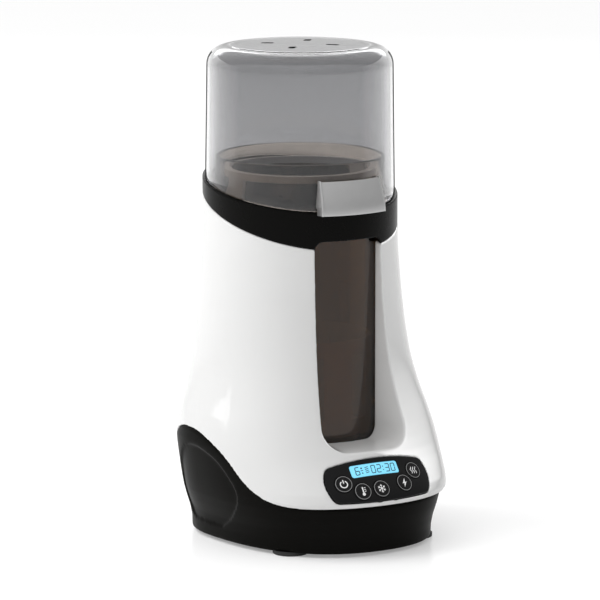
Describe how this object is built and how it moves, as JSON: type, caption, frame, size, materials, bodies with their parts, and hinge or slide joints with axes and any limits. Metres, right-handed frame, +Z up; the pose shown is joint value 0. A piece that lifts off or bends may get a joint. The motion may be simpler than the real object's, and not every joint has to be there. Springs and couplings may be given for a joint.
{
  "type": "bottle warmer",
  "caption": "Countertop baby-bottle warmer with a flared shell, smoked lift-off lid, glazed water tank, lift-out basket and a sloping control panel with a display.",
  "frame": {"origin": "centre of the object's box on the surface it stands on", "axes": "+Z up, -Y towards the control panel, +X to the right of someone facing the panel"},
  "size_m": [0.1512, 0.1591, 0.2895],
  "materials": {
    "white_shell": "glossy white moulded plastic",
    "black_shell": "satin near-black moulded plastic",
    "collar_black": "satin near-black moulded plastic",
    "grey_silicone": "soft grey silicone",
    "foot_rubber": "matte black rubber",
    "screw_steel": "zinc-plated steel",
    "window_smoke": "dark brown transparent plastic",
    "lid_smoke": "smoke-grey transparent plastic",
    "grip_silver": "satin silver plastic",
    "tank_amber": "amber-brown transparent plastic",
    "heater_plate": "spun aluminium",
    "element_steel": "heat-tinted steel tube",
    "component_white": "off-white moulding",
    "component_black": "black moulding",
    "component_blue": "blue moulding",
    "transformer_yellow": "taped ferrite transformer",
    "wire_sleeve": "glass-fibre sleeve and flat cable",
    "inner_plastic": "grey glass-filled plastic",
    "basket_plastic": "satin grey plastic",
    "panel_gloss": "glossy black fascia",
    "key_gloss": "glossy black key with a printed ring",
    "lcd_glass": "clear window",
    "lcd_module": "backlit display",
    "board_green": "solder-masked circuit board"
  },
  "bodies": {
    "casing": {"base_plate": "black_shell", "base_screws": "screw_steel", "base_shell": "black_shell", "board_standoffs": "inner_plastic", "body_screws": "screw_steel", "body_shell": "white_shell", "buzzer": "component_black", "chassis": "inner_plastic", "chassis_screws": "screw_steel", "clamp_screws": "screw_steel", "collar_band": "collar_black", "collar_gasket": "grey_silicone", "control_board": "board_green", "cord_clamp": "inner_plastic", "cord_gland": "foot_rubber", "foot_front_left": "foot_rubber", "foot_front_right": "foot_rubber", "foot_rear_left": "foot_rubber", "foot_rear_right": "foot_rubber", "heater_clamp": "heater_plate", "heater_element": "element_steel", "heater_leads": "wire_sleeve", "heater_plate": "heater_plate", "heater_screws": "screw_steel", "key_switches": "component_black", "lcd_glass": "lcd_glass", "lcd_module": "lcd_module", "panel_frame": "inner_plastic", "panel_overlay": "panel_gloss", "panel_ribbon": "wire_sleeve", "power_board": "board_green", "power_capacitor": "component_black", "power_relay": "component_blue", "power_transformer": "transformer_yellow", "tank": "tank_amber", "tank_seal": "grey_silicone", "terminal_block": "component_white", "thermal_fuse": "component_white", "thermistor": "element_steel", "window_lens": "window_smoke"},
    "lid_part": {"lid": "lid_smoke", "lid_grip": "grip_silver"},
    "basket_part": {"lift_basket": "basket_plastic", "lift_handle": "basket_plastic", "lift_pad": "grey_silicone"},
    "key_power_part": {"key_power": "key_gloss"},
    "key_room_part": {"key_room": "key_gloss"},
    "key_cold_part": {"key_cold": "key_gloss"},
    "key_quick_part": {"key_quick": "key_gloss"},
    "key_steady_part": {"key_steady": "key_gloss"}
  },
  "joints": [
    {"name": "lid_lift", "type": "slide", "parent": "casing", "child": "lid_part", "axis": [0, 0, 1], "range_m": [0, 0.13]},
    {"name": "basket_lift", "type": "slide", "parent": "casing", "child": "basket_part", "axis": [0, 0, 1], "range_m": [0, 0.055]},
    {"name": "key_power_press", "type": "slide", "parent": "casing", "child": "key_power_part", "axis": [0, 0.829, -0.5592], "range_m": [0, 0.0008], "stiffness_N_per_m": 900},
    {"name": "key_room_press", "type": "slide", "parent": "casing", "child": "key_room_part", "axis": [0, 0.829, -0.5592], "range_m": [0, 0.0008], "stiffness_N_per_m": 900},
    {"name": "key_cold_press", "type": "slide", "parent": "casing", "child": "key_cold_part", "axis": [0, 0.829, -0.5592], "range_m": [0, 0.0008], "stiffness_N_per_m": 900},
    {"name": "key_quick_press", "type": "slide", "parent": "casing", "child": "key_quick_part", "axis": [0, 0.829, -0.5592], "range_m": [0, 0.0008], "stiffness_N_per_m": 900},
    {"name": "key_steady_press", "type": "slide", "parent": "casing", "child": "key_steady_part", "axis": [0, 0.829, -0.5592], "range_m": [0, 0.0008], "stiffness_N_per_m": 900}
  ]
}
